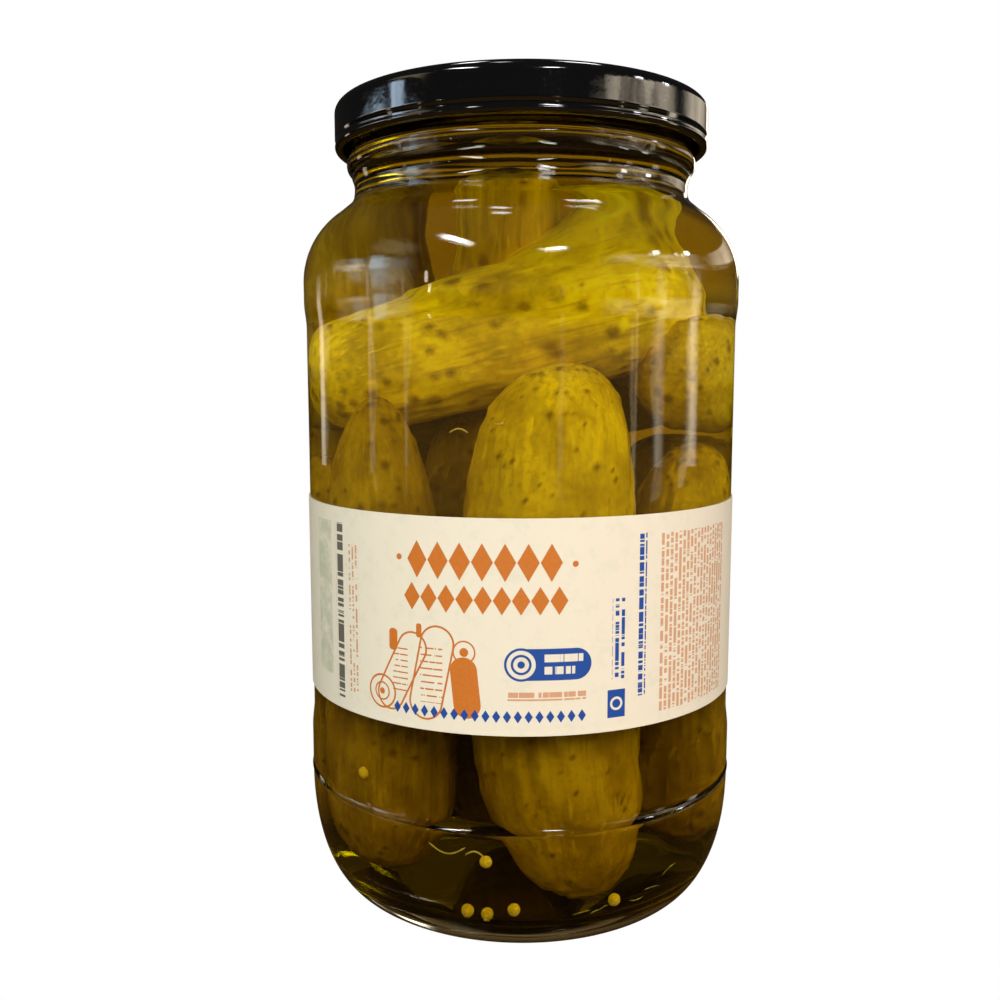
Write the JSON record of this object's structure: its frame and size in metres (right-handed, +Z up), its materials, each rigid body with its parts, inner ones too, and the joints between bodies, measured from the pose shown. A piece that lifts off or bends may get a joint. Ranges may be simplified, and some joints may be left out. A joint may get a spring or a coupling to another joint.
{
  "type": "pickle jar",
  "caption": "Tall round glass jar of whole pickled cucumbers in brine, with a sunk paper label band and a black twist-off lid.",
  "frame": {"origin": "centre of the base, on the surface that the jar stands on", "axes": "+Z up along the jar's axis, -Y towards the front of the label, +X to the right as seen from the front"},
  "size_m": [0.122, 0.122, 0.2196],
  "materials": {
    "clear_glass": "clear polished container glass with faint mould lines",
    "black_lacquer": "tinplate with glossy black lacquer",
    "label_paper": "cream paper, printed in orange and blue, satin varnish",
    "pickled_skin": "wet pickled cucumber skin, yellow olive, with warts and pale streaks"
  },
  "bodies": {
    "root": {"glass_jar": "clear_glass", "lid": "black_lacquer", "label": "label_paper", "pickles": "pickled_skin"}
  },
  "joints": []
}
